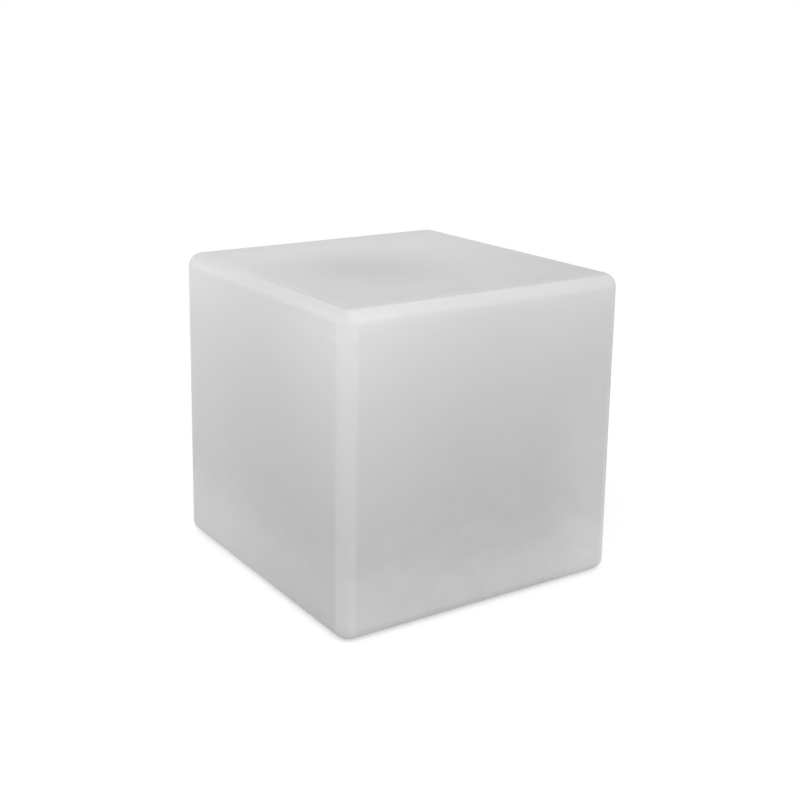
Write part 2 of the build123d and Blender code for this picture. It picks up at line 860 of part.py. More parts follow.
def ir_receiver():
    """The remote control's receiver, in the middle of the light source."""
    body = block(receiver_size, receiver_size * 0.8, led_board_high,
                 led_board_high + receiver_height)
    eye = Pos(0, 0, led_board_high + receiver_height) * Sphere(receiver_size * 0.35)
    return body + eye


def dome_gasket():
    return ring(dome_outer, dome_inner, deck_high, dome_seat) - dome_holes(deck_high, dome_seat)


def dome_holes(low, high):
    return [small_clearance(x, y, low, high) for x, y in dome_screw_places()]


def dome_form(inset):
    """A short drum under a blunt cone, set in by a wall where it is the hollow."""
    radius = dome_inner + dome_wall - inset
    crown_radius = (dome_inner + dome_wall) * dome_crown_share - inset
    crown_high = dome_seat + dome_height - inset
    drum_high = dome_seat + dome_drum_height
    upright = (Align.CENTER, Align.CENTER, Align.MIN)
    cone = Cone(radius, crown_radius, crown_high - drum_high, align=upright)
    crown = Pos(0, 0, drum_high) * cone
    return disc(radius, dome_seat, drum_high) + crown


def light_dome():
    """The frosted dome that evens out the light."""
    high = dome_seat + dome_flange_thickness
    flange = disc(dome_outer, dome_seat, high)
    return dome_form(0) + flange - dome_form(dome_wall) - dome_holes(dome_seat, high)


def dome_screws():
    return small_screws(dome_screw_places(), dome_seat + dome_flange_thickness)


# ---- leads ---------------------------------------------------------------------------------
def led_leads():
    """From the board's socket, up beside the battery and through the deck."""
    socket_x, socket_y = socket_places()[0]
    start_x = socket_x - socket_length / 2
    level = board_high + socket_height / 2
    side_x = -(cradle_half_length + housing_bore) / 2
    top = deck_low - lead_rise
    leads = []
    for y in (socket_y - lead_pitch / 2, socket_y + lead_pitch / 2):
        leads.append(lead([(start_x, y, level), (side_x, y, level), (side_x, y, top),
                           (lead_hole(), y, top), (lead_hole(), y, deck_high)]))
    return Compound(leads)


def battery_leads():
    """From the front strips of the cells, down past the cradle's end to the board."""
    socket_x, socket_y = socket_places()[1]
    level = board_high + socket_height / 2
    end_x = cradle_half_length + lead_rise
    leads = []
    for side in (-1, 1):
        start = (cradle_half_length, side * cell_y, cell_axis)
        y = socket_y + side * lead_pitch / 2
        leads.append(lead([start, (end_x, side * cell_y, cell_axis), (end_x, y, level),
                           (socket_x + socket_length / 2, y, level)]))
    return Compound(leads)


def jack_leads():
    """From the charging socket's tail to the board."""
    socket_x, socket_y = socket_places()[2]
    level = board_high + socket_height / 2
    start = (jack_x, 0, socket_top() + contact_tail)
    rise = socket_top() + contact_tail + lead_rise
    end_x = socket_x + socket_length / 2
    return lead([start, (jack_x, 0, rise), (jack_x, socket_y, level), (end_x, socket_y, level)])


PARTS = {
    "shell": shell,
    "rubber_feet": rubber_feet,
    "screw_inserts": screw_inserts,
    "base_cover": base_cover,
    "base_gasket": base_gasket,
    "base_screws": base_screws,
    "module_housing": module_housing,
    "housing_screws": housing_screws,
    "control_board": control_board,
    "board_screws": board_screws,
    "controller_chip": controller_chip,
    "power_inductor": power_inductor,
    "storage_capacitor": storage_capacitor,
    "board_sockets": board_sockets,
    "switch_body": switch_body,
    "switch_stem": switch_stem,
    "power_button": power_button,
    "button_seal": button_seal,
    "indicator_led": indicator_led,
    "light_pipe": light_pipe,
    "jack_body": jack_body,
    "jack_insulator": jack_insulator,
    "jack_contact": jack_contact,
    "jack_seal": jack_seal,
    "jack_nut": jack_nut,
    "port_cover": port_cover,
    "tether_anchor": tether_anchor,
    "battery_cells": battery_cells,
    "cell_tabs": cell_tabs,
    "battery_cradle": battery_cradle,
    "cradle_screws": cradle_screws,
    "battery_clamp": battery_clamp,
    "clamp_screws": clamp_screws,
    "led_board": led_board,
    "led_board_screws": led_board_screws,
    "led_chips": led_chips,
    "ir_receiver": ir_receiver,
    "dome_gasket": dome_gasket,
    "light_dome": light_dome,
    "dome_screws": dome_screws,
    "led_leads": led_leads,
    "battery_leads": battery_leads,
    "jack_leads": jack_leads,
}

os.makedirs("parts", exist_ok=True)
for name, build in PARTS.items():
    export_step(build(), f"parts/{name}.step")
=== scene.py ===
import json
from math import cos, pi, radians, sin, sqrt

import bmesh
import bpy
from mathutils import Matrix, Vector


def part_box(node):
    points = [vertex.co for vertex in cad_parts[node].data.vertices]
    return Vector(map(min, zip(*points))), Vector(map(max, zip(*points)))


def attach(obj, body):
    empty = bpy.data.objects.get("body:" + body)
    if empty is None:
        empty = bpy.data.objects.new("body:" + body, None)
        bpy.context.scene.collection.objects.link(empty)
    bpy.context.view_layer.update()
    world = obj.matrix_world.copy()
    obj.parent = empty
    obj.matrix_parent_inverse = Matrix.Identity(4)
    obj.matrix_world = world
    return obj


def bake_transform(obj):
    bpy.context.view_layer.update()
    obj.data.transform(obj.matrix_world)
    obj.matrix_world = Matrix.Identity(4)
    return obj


# The looks of a rechargeable cube light: an unlit, white, translucent moulded cube on a pale floor.
# Metres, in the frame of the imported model: the floor is z 0 and the cube stands over the origin.

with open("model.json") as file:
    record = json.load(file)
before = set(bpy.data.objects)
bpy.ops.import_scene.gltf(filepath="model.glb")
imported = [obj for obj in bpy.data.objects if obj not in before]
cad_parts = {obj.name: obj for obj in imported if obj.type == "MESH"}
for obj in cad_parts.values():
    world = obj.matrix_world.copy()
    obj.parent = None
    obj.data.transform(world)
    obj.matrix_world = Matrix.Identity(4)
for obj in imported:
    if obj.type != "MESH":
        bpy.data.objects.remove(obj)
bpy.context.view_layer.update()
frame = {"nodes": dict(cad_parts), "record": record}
shell_low, shell_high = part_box("shell")

MM = 0.001

# ---- camera --------------------------------------------------------------------------------
CAMERA_PLACE = Vector((-0.8927, -1.3029, 0.6922))
CAMERA_AZIMUTH = radians(-31.717)
CAMERA_PITCH = radians(12.109)
CAMERA_ROLL = radians(0.299)
CAMERA_LENS = 56.93
CAMERA_SENSOR = 36.0
CAMERA_SHIFT = (0.08, -0.14)

# ---- stage ---------------------------------------------------------------------------------
FLOOR_SIZE = 16.0
FLOOR_GREY = 0.80           # how much of the light the floor throws back
FLOOR_CLOUD = 0.01          # how much darker that is in places
FLOOR_LIFT = 0.55           # near the cube, the white that the floor shows in any light
FLOOR_SHADE = 0.55          # and how strongly a shadow shows on it
FLOOR_FADE = (0.5, 1.5)     # it turns to plain white between these distances from the middle
AMBIENT = 0.73
SEEN_WHITE = 1.0

CUBE_MIDDLE = (0.0, 0.0, 0.2)
CUBE_LOW = (0.0, 0.0, 0.16)
# Name, place, the point that it faces, width and height, and power of each lamp.
LAMPS = (
    ("key", (-0.65, -0.95, 1.35), CUBE_MIDDLE, (0.9, 0.9), 8.0),
    ("left", (-1.0, 0.4, 0.3), CUBE_MIDDLE, (0.6, 0.6), 1.4),
    ("right", (1.0, -0.55, 0.15), CUBE_MIDDLE, (0.5, 0.5), 0.4),
    ("back", (0.75, 0.95, 0.16), CUBE_LOW, (0.7, 0.28), 2.4),
)

# ---- tones of the moulded wall, with painted light and shade -------------------------------
# The wall's grey from its foot to its top, as shares of the height and greys: its own grey
# with painted light towards the top and at the foot, and painted shade low down between.
WALL_LEVELS_WITH_PAINTED_LIGHT = ((0.0, 0.635), (0.11, 0.645), (0.24, 0.54), (0.45, 0.56), (0.70, 0.615),
               (0.90, 0.69), (1.0, 0.76))

# What is added to that grey: random clouding and mottling, and painted light and shade.
CLOUD = 0.012                       # broad clouding, up and down
CLOUD_SCALE = 7.0
MOTTLE = 0.05                       # finer mottling, up and down
MOTTLE_SCALE = 20.0
MOTTLE_STRETCH = (1.0, 1.0, 1.8)
MOTTLE_HIGH = 0.25                  # the share of the mottling that is left high on the walls
MOTTLE_LEFT = 0.55                  # and on the left wall
UPRIGHT_LIGHT_GAIN = (0.0, 0.065)             # painted light towards the upright edges: at the foot, at the top
UPRIGHT_LIGHT_RIGHT = 0.1                     # the share of that which is left on the right
ROUNDING_HIGHLIGHT = (0.075, 0.038)      # painted highlight on the rounded edges: at the foot, at the top
LEFT_FALL = (0.06, 0.012)           # painted light and shade along the left wall: at the foot, at the top
LEFT_SWING = (-0.6, 0.6)            # times this: at the front, at the back
RIGHT_STRIP = 0.075                 # painted light low on the right

# What is taken from it: painted shade.
LEFT_CUT = (0.035, 0.09)            # painted shade on the left wall: above its foot, at its foot
LEFT_EDGE_DROP = (0.045, 0.015)     # painted shade over the left wall's top edge: at the front, at the back
EDGE_DROP = 0.055                   # painted shade over all top edges and the top
TOP_DROP = (0.10, -0.015)           # painted shade on the top: at the front, at the back
TOP_RIM = 0.024                     # painted shade along the top's rim
TOP_SHADE = 0.085                   # in the soft darker patch on the top
FOOT_SHADOW = 0.07                    # painted contact shadow along the foot

# Where that happens: it starts at the first place and is complete at the second. A SHARE is of the
# height, DEPTH is below the top, REACH is from an edge, a wall or a middle, and X and Y are places.
MOTTLE_SHARE = (0.55, 0.15)
UPRIGHT_LIGHT_REACH = (0.19, 0.0)
UPRIGHT_LIGHT_X = (0.0, 0.15)
UPRIGHT_LIGHT_DEPTH = (1.5 * MM, 14.0 * MM)
ROUNDING_REACH = (20.0 * MM, 12.5 * MM)
BACK_Y = (-0.17, 0.17)
STRIP_X = (0.07, 0.17)
STRIP_SHARE = (0.8, 0.4)
LEFT_REACH = (18.0 * MM, 0.0)
LEFT_CUT_SHARE = (0.25, 0.0)
LEFT_EDGE_DEPTH = (34.0 * MM, 14.0 * MM)
LEFT_EDGE_REACH = (14.0 * MM, 5.0 * MM)
TOP_DEPTH = (3.2 * MM, 1.5 * MM)
TOP_EDGE_DEPTH = (14.0 * MM, 5.0 * MM)
TOP_RIM_REACH = (0.07, 0.0)
PATCH_MIDDLE = (-0.06, -0.005)
PATCH_REACH = (0.16, 0.0)
FOOT_SHADOW_REACH = (5.0 * MM, 1.0 * MM)

# The part of a noise's range over which a colour goes from dark to light.
NOISE_RANGE = (0.3, 0.7)

# ---- the mark on the power button ----------------------------------------------------------
BUTTON_DISH = 0.7 * MM              # depth of the button's dish
BUTTON_FLANGE = 2.2 * MM            # width of its flange, round the dish
MARK_RADIUS = 3.2 * MM
MARK_WIDTH = 0.7 * MM
MARK_PROUD = 0.12 * MM
MARK_SUNK = 0.15 * MM
MARK_OPENING = radians(64)
MARK_ARC_STEPS = 40
MARK_BEVEL = 0.08 * MM
MARK_BEVEL_STEPS = 2
MARK_BEVEL_ANGLE = radians(50)
BAR_ENDS = (1.1 * MM, 4.3 * MM)
BAR_STEPS = 6
# The corners of the mark's section: to which side of its line, and how far out of the dish.
MARK_SECTION = ((-1, -MARK_SUNK), (1, -MARK_SUNK), (1, MARK_PROUD), (-1, MARK_PROUD))

# ---- the bending stretch of the port cover's strap -----------------------------------------
STRAP_HALF = 0.6 * MM               # half the strap's thickness
FOLD_WIDTH = 5.14 * MM
FOLD_THICKNESS = 1.34 * MM
FOLD_CORNER = 0.35 * MM
FOLD_CORNER_STEPS = 3
FOLD_TAPER = 0.3 * MM               # how much slimmer the fold is at its ends
FOLD_TAPERS = 6                     # each taper takes one part in so many of the fold's length
FOLD_ENDS = (-16.0 * MM, -12.2 * MM)
FOLD_STEPS = 26


def grey(value):
    return (value, value, value)


# ---- node helpers --------------------------------------------------------------------------
class Nodes:
    """A short way to write a node tree for a material."""

    def __init__(self, name):
        self.material = bpy.data.materials.new(name)
        self.material.use_nodes = True
        self.tree = self.material.node_tree
        self.tree.nodes.clear()
        self.output = self.add("ShaderNodeOutputMaterial")
        self.place = self.add("ShaderNodeTexCoord").outputs["Object"]

    def add(self, kind, **settings):
        node = self.tree.nodes.new(kind)
        for key, value in settings.items():
            setattr(node, key, value)
        return node

    def link(self, source, target):
        self.tree.links.new(source, target)

    def feed(self, socket, value):
        """Gives a socket a number, or links another node's output to it."""
        if isinstance(value, bpy.types.NodeSocket):
            self.link(value, socket)
        else:
            socket.default_value = value

    def maths(self, operation, *values):
        node = self.add("ShaderNodeMath", operation=operation)
        for socket, value in zip(node.inputs, values):
            self.feed(socket, value)
        return node.outputs["Value"]

    def total(self, first, *others):
        for other in others:
            first = self.maths("ADD", first, other)
        return first

    def product(self, first, *others):
        for other in others:
            first = self.maths("MULTIPLY", first, other)
        return first

    def smooth(self, value, start, end, low=0.0, high=1.0):
        """Goes smoothly from low to high as the value goes from start to end."""
        node = self.add("ShaderNodeMapRange", interpolation_type="SMOOTHSTEP")
        self.feed(node.inputs["Value"], value)
        node.inputs["From Min"].default_value = start
        node.inputs["From Max"].default_value = end
        node.inputs["To Min"].default_value = low
        node.inputs["To Max"].default_value = high
        return node.outputs["Result"]

    def spread(self, value, low, high):
        """Maps a value from 0 to 1 on to a range."""
        node = self.add("ShaderNodeMapRange")
        self.feed(node.inputs["Value"], value)
        node.inputs["To Min"].default_value = low
        node.inputs["To Max"].default_value = high
        return node.outputs["Result"]

    def noise(self, scale, detail=2.0, roughness=0.5, stretch=None):
        """Noise over the object's own space, with features about 1 / scale metres wide."""
        node = self.add("ShaderNodeTexNoise")
        node.inputs["Scale"].default_value = scale
        node.inputs["Detail"].default_value = detail
        node.inputs["Roughness"].default_value = roughness
        source = self.place
        if stretch:
            mapping = self.add("ShaderNodeMapping")
            mapping.inputs["Scale"].default_value = stretch
            self.link(self.place, mapping.inputs["Vector"])
            source = mapping.outputs["Vector"]
        self.link(source, node.inputs["Vector"])
        return node.outputs["Fac"]

    def colours(self, value, dark, light):
        """A colour between two colours, by a noise."""
        ramp = self.add("ShaderNodeValToRGB")
        for i, colour in enumerate((dark, light)):
            ramp.color_ramp.elements[i].position = NOISE_RANGE[i]
            ramp.color_ramp.elements[i].color = (*colour, 1.0)
        self.link(value, ramp.inputs["Fac"])
        return ramp.outputs["Color"]

    def stops(self, value, stops):
        """A grey read off a row of places and greys."""
        ramp = self.add("ShaderNodeValToRGB")
        ramp.color_ramp.interpolation = "B_SPLINE"
        elements = ramp.color_ramp.elements
        while len(elements) < len(stops):
            elements.new(0.5)
        for element, (position, level) in zip(elements, stops):
            element.position = position
            element.color = (*grey(level), 1.0)
        self.link(value, ramp.inputs["Fac"])
        return ramp.outputs["Color"]

    def glow(self, strength):
        """Plain white light of this strength."""
        node = self.add("ShaderNodeEmission")
        node.inputs["Strength"].default_value = strength
        return node.outputs["Emission"]

    def mix(self, share, first, second):
        """Goes from the first shader to the second as the share goes from 0 to 1."""
        node = self.add("ShaderNodeMixShader")
        self.link(share, node.inputs["Fac"])
        self.link(first, node.inputs[1])
        self.link(second, node.inputs[2])
        return node.outputs["Shader"]

    def bump(self, height, distance, strength, under=None):
        """A normal bent by a height, over another bent normal where one is given."""
        node = self.add("ShaderNodeBump")
        node.inputs["Strength"].default_value = strength
        node.inputs["Distance"].default_value = distance
        self.link(height, node.inputs["Height"])
        if under:
            self.link(under, node.inputs["Normal"])
        return node.outputs["Normal"]

    def surface(self, colour, roughness, normal=None, **sockets):
        """The principled shader; a colour or a roughness may be a value or a node's output."""
        shader = self.add("ShaderNodeBsdfPrincipled")
        self.feed(shader.inputs["Base Color"], colour)
        self.feed(shader.inputs["Roughness"], roughness)
        if normal:
            self.link(normal, shader.inputs["Normal"])
        for socket, value in sockets.items():
            shader.inputs[socket.replace("_", " ")].default_value = value
        self.link(shader.outputs["BSDF"], self.output.inputs["Surface"])
        return self.material


# ---- materials -----------------------------------------------------------------------------
def wall_grey_and_painted_light(make):
    """How light the moulded wall looks by place on the shell, with painted light and shade."""
    split = make.add("ShaderNodeSeparateXYZ")
    make.link(make.place, split.inputs["Vector"])
    x, y, z = split.outputs["X"], split.outputs["Y"], split.outputs["Z"]
    share = make.maths("DIVIDE", z, shell_high.z)

    # Distances from the faces. On a flat wall or the top the nearest of the three is none, and
    # the second nearest is the way to the rim of that face.
    from_side_x = make.maths("SUBTRACT", shell_high.x, make.maths("ABSOLUTE", x))
    from_side_y = make.maths("SUBTRACT", shell_high.y, make.maths("ABSOLUTE", y))
    from_top = make.maths("SUBTRACT", shell_high.z, z)
    from_bottom = make.maths("SUBTRACT", z, shell_low.z)
    from_left = make.maths("SUBTRACT", x, shell_low.x)
    across = make.maths("MAXIMUM", from_side_x, from_side_y)
    nearest = make.maths("MINIMUM", make.maths("MINIMUM", from_side_x, from_side_y), from_top)
    farthest = make.maths("MAXIMUM", across, from_top)
    all_three = make.total(from_side_x, from_side_y, from_top)
    to_rim = make.maths("SUBTRACT", make.maths("SUBTRACT", all_three, nearest), farthest)
    off_patch_x, off_patch_y = (make.maths("SUBTRACT", place, middle)
                                for place, middle in zip((x, y), PATCH_MIDDLE))
    off_patch = make.maths("SQRT", make.total(make.product(off_patch_x, off_patch_x),
                                              make.product(off_patch_y, off_patch_y)))

    back = make.smooth(y, *BACK_Y)
    on_top = make.smooth(from_top, *TOP_DEPTH)
    on_left = make.smooth(from_left, *LEFT_REACH)
    on_rounding = make.smooth(make.total(nearest, to_rim), *ROUNDING_REACH)

    cloud = make.spread(make.noise(CLOUD_SCALE, 3.0, 0.55), -CLOUD, CLOUD)
    mottle = make.product(
        make.spread(make.noise(MOTTLE_SCALE, 4.0, 0.6, MOTTLE_STRETCH), -MOTTLE, MOTTLE),
        make.smooth(share, *MOTTLE_SHARE, MOTTLE_HIGH, 1.0),
        make.spread(on_left, 1.0, MOTTLE_LEFT))
    # Painted light towards the upright edges, growing up the walls, weaker on the right, and fading
    # out over the top edges.
    upright_light = make.product(
        make.smooth(across, *UPRIGHT_LIGHT_REACH), make.spread(share, *UPRIGHT_LIGHT_GAIN),
        make.smooth(x, *UPRIGHT_LIGHT_X, 1.0, UPRIGHT_LIGHT_RIGHT), make.smooth(from_top, *UPRIGHT_LIGHT_DEPTH))
    # A painted highlight along the rounded edges.
    rounding = make.product(on_rounding, make.spread(share, *ROUNDING_HIGHLIGHT))
    # Painted light towards the back of the left wall, and painted shade towards its front and foot.
    fall = make.product(make.spread(share, *LEFT_FALL), make.spread(back, *LEFT_SWING))
    cut = make.smooth(share, *LEFT_CUT_SHARE, *LEFT_CUT)
    left = make.product(on_left, make.maths("SUBTRACT", fall, cut))
    # Painted light low down on the right of the cube.
    strip = make.product(make.smooth(x, *STRIP_X, 0.0, RIGHT_STRIP),
                         make.smooth(share, *STRIP_SHARE))
    # Its own grey, with painted light towards the top and at the foot, and painted shade between.
    level = make.stops(share, WALL_LEVELS_WITH_PAINTED_LIGHT)
    # The wall's grey with random clouding and mottling, and painted light and shade.
    lighter = make.total(level, cloud, mottle, upright_light, rounding, left, strip)

    # Painted shade on the top: darker to the front and in a soft patch, along its rim, over its
    # edges.
    patch = make.product(make.smooth(off_patch, *PATCH_REACH), TOP_SHADE)
    top = make.product(on_top, make.total(make.spread(back, *TOP_DROP), patch))
    top_rim = make.product(make.smooth(to_rim, *TOP_RIM_REACH), on_top, TOP_RIM)
    top_edge = make.product(make.smooth(from_top, *TOP_EDGE_DEPTH), EDGE_DROP)
    left_edge = make.product(
        make.smooth(from_top, *LEFT_EDGE_DEPTH), make.smooth(from_left, *LEFT_EDGE_REACH),
        make.spread(back, *LEFT_EDGE_DROP))
    # A painted contact shadow along the foot.
    foot_shadow = make.smooth(from_bottom, *FOOT_SHADOW_REACH, 0.0, FOOT_SHADOW)
    # All the painted shade, taken from the grey.
    darker = make.total(top, top_rim, top_edge, left_edge, foot_shadow)
    return make.maths("SUBTRACT", lighter, darker)


def polyethylene():
    """Rotation-moulded white polyethylene: satin and translucent. Its colour holds painted light
    and shade: the hollow cube's rounded edges are painted lighter than its walls' middles."""
    make = Nodes("polyethylene")
    value = wall_grey_and_painted_light(make)
    colour = make.add("ShaderNodeCombineColor")
    for channel in ("Red", "Green", "Blue"):
        make.link(value, colour.inputs[channel])
    peel = make.bump(make.noise(420.0), 0.02 * MM, 0.5)
    swell = make.bump(make.noise(9.0, detail=1.0), 0.8 * MM, 0.35, under=peel)
    roughness = make.spread(make.noise(40.0, detail=3.0), 0.42, 0.50)
    return make.surface(colour.outputs["Color"], roughness, swell, Subsurface_Weight=0.3,
                        Subsurface_Radius=(0.01, 0.01, 0.01), Subsurface_Scale=1.0,
                        IOR=1.5, Specular_IOR_Level=0.2)


def moulded_plastic(name, dark, light, rough, grain=900.0):
    """Injection-moulded plastic with a spark-eroded grain."""
    make = Nodes(name)
    colour = make.colours(make.noise(35.0, detail=4.0), dark, light)
    normal = make.bump(make.noise(grain), 0.03 * MM, 0.6)
    roughness = make.spread(make.noise(60.0, detail=3.0), rough - 0.05, rough + 0.06)
    return make.surface(colour, roughness, normal, IOR=1.5)


def rubber(name, dark, light, rough=0.75):
    """Moulded rubber or silicone: matt, with dust in its grain."""
    make = Nodes(name)
    colour = make.colours(make.noise(120.0, detail=5.0, roughness=0.6), dark, light)
    normal = make.bump(make.noise(1400.0), 0.04 * MM, 0.7)
    roughness = make.spread(make.noise(80.0, detail=3.0), rough - 0.06, rough + 0.08)
    return make.surface(colour, roughness, normal, IOR=1.45, Sheen_Weight=0.05)


def metal(name, dark, light, rough):
    """Plated or turned metal with fine tool marks."""
    make = Nodes(name)
    marks = make.noise(900.0, detail=3.0, roughness=0.6, stretch=(1.0, 1.0, 12.0))
    colour = make.colours(marks, dark, light)
    normal = make.bump(marks, 0.01 * MM, 0.5)
    roughness = make.spread(marks, rough - 0.06, rough + 0.08)
    return make.surface(colour, roughness, normal, Metallic=1.0)


def circuit_board(name, dark, light, copper, tracks):
    """Solder mask over copper tracks, which run this many to the metre."""
    make = Nodes(name)
    brick = make.add("ShaderNodeTexBrick")
    brick.inputs["Scale"].default_value = tracks
    for socket, colour in (("Color1", dark), ("Color2", light), ("Mortar", copper)):
        brick.inputs[socket].default_value = (*colour, 1.0)
    brick.inputs["Mortar Size"].default_value = 0.03
    make.link(make.place, brick.inputs["Vector"])
    normal = make.bump(brick.outputs["Fac"], 0.02 * MM, 0.6)
    roughness = make.spread(make.noise(200.0, detail=3.0), 0.28, 0.40)
    return make.surface(brick.outputs["Color"], roughness, normal, IOR=1.5,
                        Coat_Weight=0.3, Coat_Roughness=0.2)


def frosted_plastic():
    """Frosted polycarbonate of the diffuser."""
    make = Nodes("frosted_polycarbonate")
    colour = make.colours(make.noise(90.0, detail=4.0), grey(0.84), grey(0.90))
    normal = make.bump(make.noise(2600.0), 0.02 * MM, 0.8)
    roughness = make.spread(make.noise(150.0, detail=3.0), 0.55, 0.65)
    return make.surface(colour, roughness, normal, IOR=1.58, Subsurface_Weight=0.3,
                        Subsurface_Radius=(0.004, 0.004, 0.004), Subsurface_Scale=1.0)


def clear_plastic():
    """Clear acrylic of the light pipe."""
    make = Nodes("clear_acrylic")
    colour = make.colours(make.noise(60.0), (0.86, 0.90, 0.88), (0.93, 0.96, 0.95))
    roughness = make.spread(make.noise(300.0, detail=3.0), 0.05, 0.15)
    return make.surface(colour, roughness, IOR=1.49, Transmission_Weight=0.85)


def chip_resin():
    """The pale resin over a light-emitting chip, over its phosphor."""
    make = Nodes("led_resin")
    colour = make.colours(make.noise(500.0, detail=4.0), (0.86, 0.80, 0.50), (0.94, 0.92, 0.82))
    roughness = make.spread(make.noise(400.0), 0.15, 0.25)
    return make.surface(colour, roughness, IOR=1.53, Coat_Weight=0.5, Coat_Roughness=0.1)


def cell_wrap():
    """Heat-shrunk film over a steel can, with shrink ripples."""
    make = Nodes("cell_wrap")
    ripple = make.noise(160.0, detail=3.0, roughness=0.6, stretch=(1.0, 3.0, 3.0))
    colour = make.colours(ripple, (0.045, 0.17, 0.42), (0.07, 0.23, 0.52))
    normal = make.bump(ripple, 0.05 * MM, 0.6)
    return make.surface(colour, make.spread(ripple, 0.2, 0.34), normal, IOR=1.5,
                        Coat_Weight=0.4, Coat_Roughness=0.12)


MATERIALS = {
    "polyethylene": polyethylene(),
    "black_rubber": rubber("black_rubber", grey(0.018), grey(0.045)),
    "brass": metal("brass", (0.52, 0.36, 0.13), (0.66, 0.49, 0.20), 0.3),
    "white_abs": moulded_plastic("white_abs", grey(0.66), grey(0.71), 0.45),
    "grey_silicone": rubber("grey_silicone", grey(0.40), grey(0.47), 0.65),
    "steel": metal("zinc_plated_steel", (0.50, 0.50, 0.53), (0.66, 0.66, 0.69), 0.3),
    "green_board": circuit_board("green_board", (0.012, 0.10, 0.035), (0.016, 0.13, 0.045),
                                 (0.03, 0.20, 0.07), 260.0),
    "black_epoxy": moulded_plastic("black_epoxy", grey(0.014), grey(0.028), 0.5, 1800.0),
    "ferrite": moulded_plastic("ferrite", grey(0.04), grey(0.08), 0.6, 1500.0),
    "can_aluminium": metal("can_aluminium", grey(0.70), grey(0.82), 0.25),
    "ivory_nylon": moulded_plastic("ivory_nylon", (0.70, 0.66, 0.54), (0.77, 0.73, 0.62), 0.4),
    "black_plastic": moulded_plastic("black_plastic", grey(0.022), grey(0.042), 0.45),
    "grey_abs": moulded_plastic("grey_abs", grey(0.17), grey(0.21), 0.4),
    "led_white": chip_resin(),
    "clear_acrylic": clear_plastic(),
    "nickel": metal("nickel_plate", (0.58, 0.55, 0.50), (0.72, 0.69, 0.63), 0.22),
    "cell_wrap": cell_wrap(),
    "white_board": circuit_board("white_board", grey(0.78), grey(0.82), grey(0.70), 120.0),
    "frosted": frosted_plastic(),
    "lead_white": rubber("lead_white", grey(0.66), grey(0.74), 0.45),
    "lead_red": rubber("lead_red", (0.42, 0.012, 0.008), (0.52, 0.02, 0.012), 0.45),
}


def dress_nodes():
    """Gives every node of the frame its material."""
    for part in frame["record"]["subparts"]:
        node = frame["nodes"][part["node"]]
        node.data.materials.clear()
        node.data.materials.append(MATERIALS[part["material_slot"]])


# ---- small pieces --------------------------------------------------------------------------
def skin(name, rings, slot):
    """A closed piece through rings of points, all with the same count."""
    mesh = bmesh.new()
    rows = [[mesh.verts.new(point) for point in ring] for ring in rings]
    count = len(rings[0])
    for row, following in zip(rows, rows[1:]):
        for i in range(count):
            j = (i + 1) % count
            mesh.faces.new((row[i], row[j], following[j], following[i]))
    mesh.faces.new(reversed(rows[0]))
    mesh.faces.new(rows[-1])
    bmesh.ops.recalc_face_normals(mesh, faces=mesh.faces[:])
    data = bpy.data.meshes.new(name)
    mesh.to_mesh(data)
    mesh.free()
    data.materials.append(MATERIALS[slot])
    piece = bpy.data.objects.new(name, data)
    bpy.context.scene.collection.objects.link(piece)
    return piece


def bevel_mark(piece):
    bevel = piece.modifiers.new("edges", "BEVEL")
    bevel.width = MARK_BEVEL
    bevel.segments = MARK_BEVEL_STEPS
    bevel.limit_method = "ANGLE"
    bevel.angle_limit = MARK_BEVEL_ANGLE


def add_power_mark():
    """The usual on and off mark, an open ring with a bar, moulded proud of the dished button."""
    low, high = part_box("power_button")
    middle = Vector(((low.x + high.x) / 2, (low.y + high.y) / 2, low.z))
    reach = (high.x - low.x) / 2 - BUTTON_FLANGE
    sphere = (reach ** 2 / BUTTON_DISH + BUTTON_DISH) / 2

    def on_dish(across, along, out):
        fall = sphere - sqrt(sphere ** 2 - across ** 2 - along ** 2)
        return middle + Vector((across, along, BUTTON_DISH - fall - out))

    arc = []
    for i in range(MARK_ARC_STEPS + 1):
        angle = MARK_OPENING / 2 + (2 * pi - MARK_OPENING) * i / MARK_ARC_STEPS
        ring = []
        for side, out in MARK_SECTION:
            radius = MARK_RADIUS + side * MARK_WIDTH / 2
            ring.append(on_dish(radius * sin(angle), radius * cos(angle), out))
        arc.append(ring)
    bar = []
    for i in range(BAR_STEPS + 1):
        along = BAR_ENDS[0] + (BAR_ENDS[1] - BAR_ENDS[0]) * i / BAR_STEPS
        bar.append([on_dish(side * MARK_WIDTH / 2, along, out) for side, out in MARK_SECTION])
    for name, rings in (("power_mark_ring", arc), ("power_mark_bar", bar)):
        piece = skin(name, rings, "white_abs")
        bevel_mark(piece)
        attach(piece, "button")


def rounded_section(width, thickness, corner, y, middle_x, middle_z):
    """A rectangle with rounded corners, square to the strap."""
    points = []
    for turn, (side, level) in enumerate(((1, 1), (-1, 1), (-1, -1), (1, -1))):
        for i in range(FOLD_CORNER_STEPS + 1):
            angle = (turn + i / FOLD_CORNER_STEPS) * pi / 2
            points.append(Vector((middle_x + side * (width / 2 - corner) + corner * cos(angle), y,
                                  middle_z + level * (thickness / 2 - corner)
                                  + corner * sin(angle))))
    return points


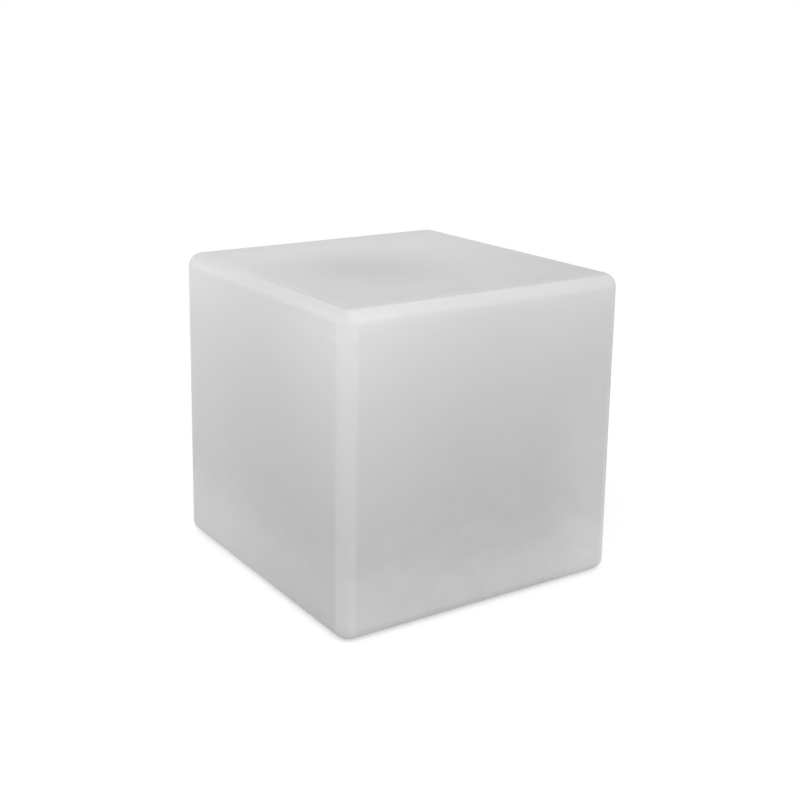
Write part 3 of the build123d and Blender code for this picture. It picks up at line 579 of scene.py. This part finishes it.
def add_cover_fold():
    """The stretch of the port cover's strap that bends, from its anchor to the cover."""
    anchor_low, anchor_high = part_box("tether_anchor")
    middle_x = (anchor_low.x + anchor_high.x) / 2
    middle_z = anchor_low.z + STRAP_HALF
    rings = []
    for i in range(FOLD_STEPS + 1):
        share = i / FOLD_STEPS
        y = FOLD_ENDS[0] + (FOLD_ENDS[1] - FOLD_ENDS[0]) * share
        swell = min(1.0, FOLD_TAPERS * min(share, 1 - share))
        width = FOLD_WIDTH - FOLD_TAPER * (1 - swell)
        thickness = FOLD_THICKNESS - FOLD_TAPER * (1 - swell)
        rings.append(rounded_section(width, thickness, FOLD_CORNER, y, middle_x, middle_z))
    fold = skin("port_cover_fold", rings, "grey_silicone")
    for face in fold.data.polygons:
        face.use_smooth = True
    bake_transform(fold)


# ---- stage, lights and camera --------------------------------------------------------------
def seen_directly(tree):
    """1 for what the camera sees, straight or in gloss or glass, and 0 for light that is cast."""
    path = tree.nodes.new("ShaderNodeLightPath")
    seen = path.outputs["Is Camera Ray"]
    for ray in ("Is Glossy Ray", "Is Transmission Ray"):
        either = tree.nodes.new("ShaderNodeMath")
        either.operation = "MAXIMUM"
        tree.links.new(seen, either.inputs[0])
        tree.links.new(path.outputs[ray], either.inputs[1])
        seen = either.outputs["Value"]
    return seen


def floor_material():
    """Pale floor: it bounces light as a grey, and shows white apart from the cube's shadow."""
    make = Nodes("pale_floor")
    cloth = make.colours(make.noise(1.5), grey(FLOOR_GREY - FLOOR_CLOUD), grey(FLOOR_GREY))
    matt = make.add("ShaderNodeBsdfDiffuse")
    make.link(cloth, matt.inputs["Color"])
    faint = make.add("ShaderNodeBsdfDiffuse")
    faint.inputs["Color"].default_value = (*grey(FLOOR_SHADE), 1.0)
    near = make.add("ShaderNodeAddShader")
    make.link(faint.outputs["BSDF"], near.inputs[0])
    make.link(make.glow(FLOOR_LIFT), near.inputs[1])
    distance = make.add("ShaderNodeVectorMath", operation="LENGTH")
    make.link(make.place, distance.inputs[0])
    away = make.smooth(distance.outputs["Value"], *FLOOR_FADE)
    seen = make.mix(away, near.outputs["Shader"], make.glow(SEEN_WHITE))
    shown = make.mix(seen_directly(make.tree), matt.outputs["BSDF"], seen)
    make.link(shown, make.output.inputs["Surface"])
    return make.material


def add_floor():
    bpy.ops.mesh.primitive_plane_add(size=FLOOR_SIZE, location=(0, 0, 0))
    floor = bpy.context.object
    floor.name = "stage_floor"
    floor.data.materials.append(floor_material())


def add_world():
    """An even pale surround, which shows as white."""
    world = bpy.data.worlds.new("studio")
    bpy.context.scene.world = world
    world.use_nodes = True
    tree = world.node_tree
    tree.nodes.clear()
    mix = tree.nodes.new("ShaderNodeMixShader")
    tree.links.new(seen_directly(tree), mix.inputs["Fac"])
    for socket, strength in ((1, AMBIENT), (2, SEEN_WHITE)):
        light = tree.nodes.new("ShaderNodeBackground")
        light.inputs["Color"].default_value = (1, 1, 1, 1)
        light.inputs["Strength"].default_value = strength
        tree.links.new(light.outputs["Background"], mix.inputs[socket])
    output = tree.nodes.new("ShaderNodeOutputWorld")
    tree.links.new(mix.outputs["Shader"], output.inputs["Surface"])


def area_light(name, place, aim, size, power):
    """A soft rectangular lamp that faces a point."""
    data = bpy.data.lights.new(name, "AREA")
    data.shape = "RECTANGLE"
    data.size, data.size_y = size
    data.energy = power
    lamp = bpy.data.objects.new(name, data)
    bpy.context.scene.collection.objects.link(lamp)
    lamp.location = place
    lamp.visible_camera = False
    lamp.rotation_euler = (Vector(aim) - Vector(place)).to_track_quat("-Z", "Y").to_euler()


def add_camera():
    """A shifted lens, level enough to keep the cube's uprights nearly parallel."""
    data = bpy.data.cameras.new("camera")
    data.sensor_width = CAMERA_SENSOR
    data.lens = CAMERA_LENS
    data.shift_x, data.shift_y = CAMERA_SHIFT
    camera = bpy.data.objects.new("camera", data)
    bpy.context.scene.collection.objects.link(camera)
    turn = Matrix.Rotation(CAMERA_AZIMUTH, 4, "Z")
    tilt = Matrix.Rotation(pi / 2 - CAMERA_PITCH, 4, "X")
    roll = Matrix.Rotation(CAMERA_ROLL, 4, "Z")
    camera.matrix_world = Matrix.Translation(CAMERA_PLACE) @ turn @ tilt @ roll
    bpy.context.scene.camera = camera


dress_nodes()
add_power_mark()
add_cover_fold()
add_floor()
add_world()
for lamp_values in LAMPS:
    area_light(*lamp_values)
add_camera()
bpy.context.scene.view_settings.view_transform = "Standard"
